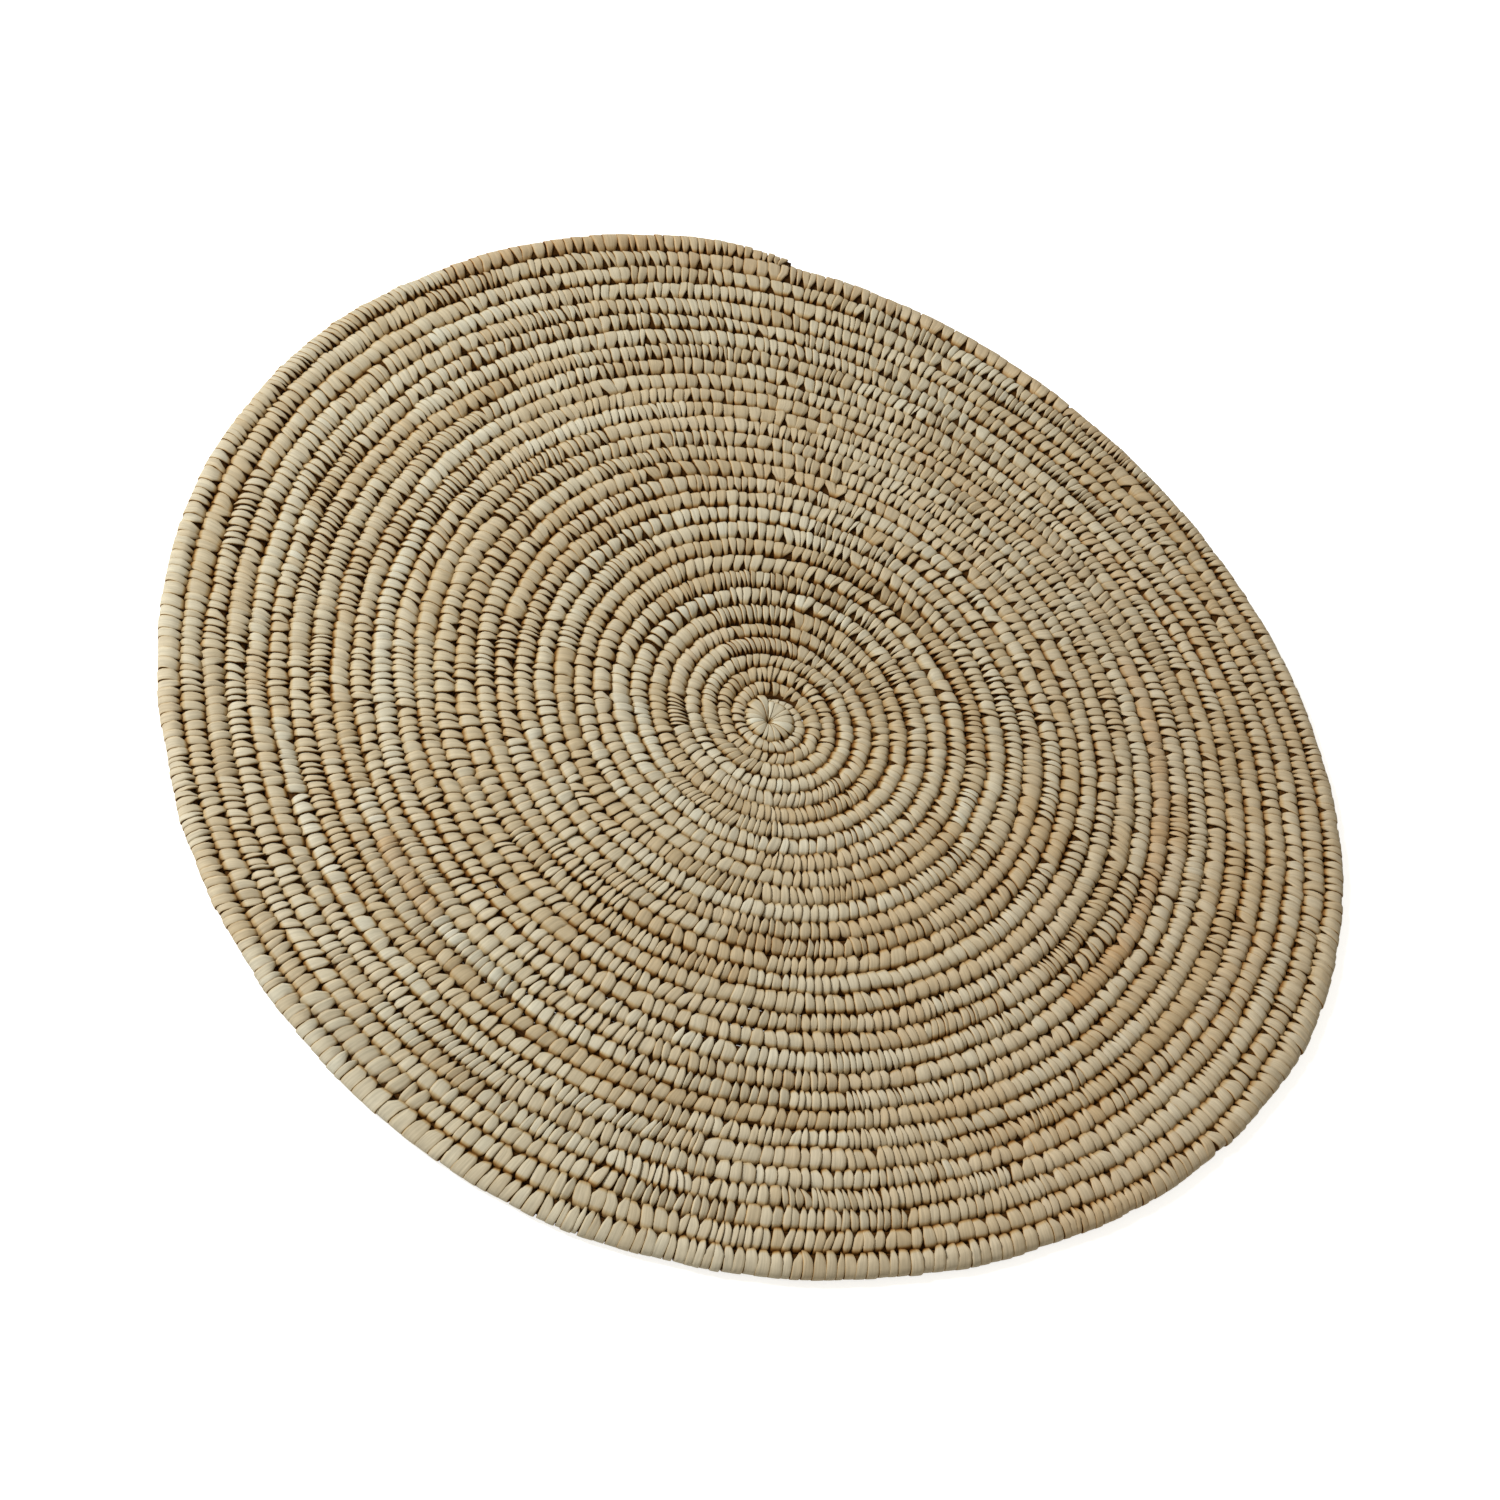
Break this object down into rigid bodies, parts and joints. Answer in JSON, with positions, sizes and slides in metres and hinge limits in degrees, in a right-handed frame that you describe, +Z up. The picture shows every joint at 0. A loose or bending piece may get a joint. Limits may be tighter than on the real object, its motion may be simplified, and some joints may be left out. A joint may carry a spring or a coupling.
{
  "type": "palm leaf bread tray",
  "caption": "Round coiled bread tray: a palm fibre bundle wound in a flat spiral and wrapped row by row with split palm leaf, from a centre knot out to a bound tail at the rim.",
  "frame": {"origin": "middle of the centre knot's flat underside, where the tray stands on a table", "axes": "+Z up, out of the serving side; turn 0 of the coil lies towards +X and the coil winds outward clockwise, seen from above; the coil ends at the rim towards +Y"},
  "size_m": [0.4725, 0.4619, 0.0128],
  "materials": {
    "palm_leaf_pale": "dry split palm leaf, pale beige, satin, in flat overlapping stitches",
    "palm_leaf_tan": "dry split palm leaf, tan, satin, in flat overlapping stitches",
    "palm_fibre": "rough brown palm fibre bundle, matte"
  },
  "bodies": {
    "root": {"foundation_bundle": "palm_fibre", "centre_knot": "palm_leaf_pale", "leaf_wrap_round_01": "palm_leaf_pale", "leaf_wrap_round_02": "palm_leaf_tan", "leaf_wrap_round_03": "palm_leaf_pale", "leaf_wrap_round_04": "palm_leaf_pale", "leaf_wrap_round_05": "palm_leaf_tan", "leaf_wrap_round_06": "palm_leaf_pale", "leaf_wrap_round_07": "palm_leaf_pale", "leaf_wrap_round_08": "palm_leaf_tan", "leaf_wrap_round_09": "palm_leaf_pale", "leaf_wrap_round_10": "palm_leaf_pale", "leaf_wrap_round_11": "palm_leaf_tan", "leaf_wrap_round_12": "palm_leaf_pale", "leaf_wrap_round_13": "palm_leaf_pale", "leaf_wrap_round_14": "palm_leaf_tan", "leaf_wrap_round_15": "palm_leaf_pale", "leaf_wrap_round_16": "palm_leaf_pale", "leaf_wrap_round_17": "palm_leaf_tan", "leaf_wrap_round_18": "palm_leaf_pale", "leaf_wrap_round_19": "palm_leaf_pale", "leaf_wrap_round_20": "palm_leaf_tan", "leaf_wrap_round_21": "palm_leaf_pale", "leaf_wrap_round_22": "palm_leaf_pale", "leaf_wrap_round_23": "palm_leaf_tan", "leaf_wrap_round_24": "palm_leaf_pale", "leaf_wrap_round_25": "palm_leaf_pale", "leaf_wrap_round_26": "palm_leaf_tan", "leaf_wrap_round_27": "palm_leaf_pale", "leaf_wrap_round_28": "palm_leaf_pale", "leaf_wrap_round_29": "palm_leaf_tan", "leaf_wrap_round_30": "palm_leaf_pale", "tail_binding": "palm_leaf_tan"}
  },
  "joints": []
}
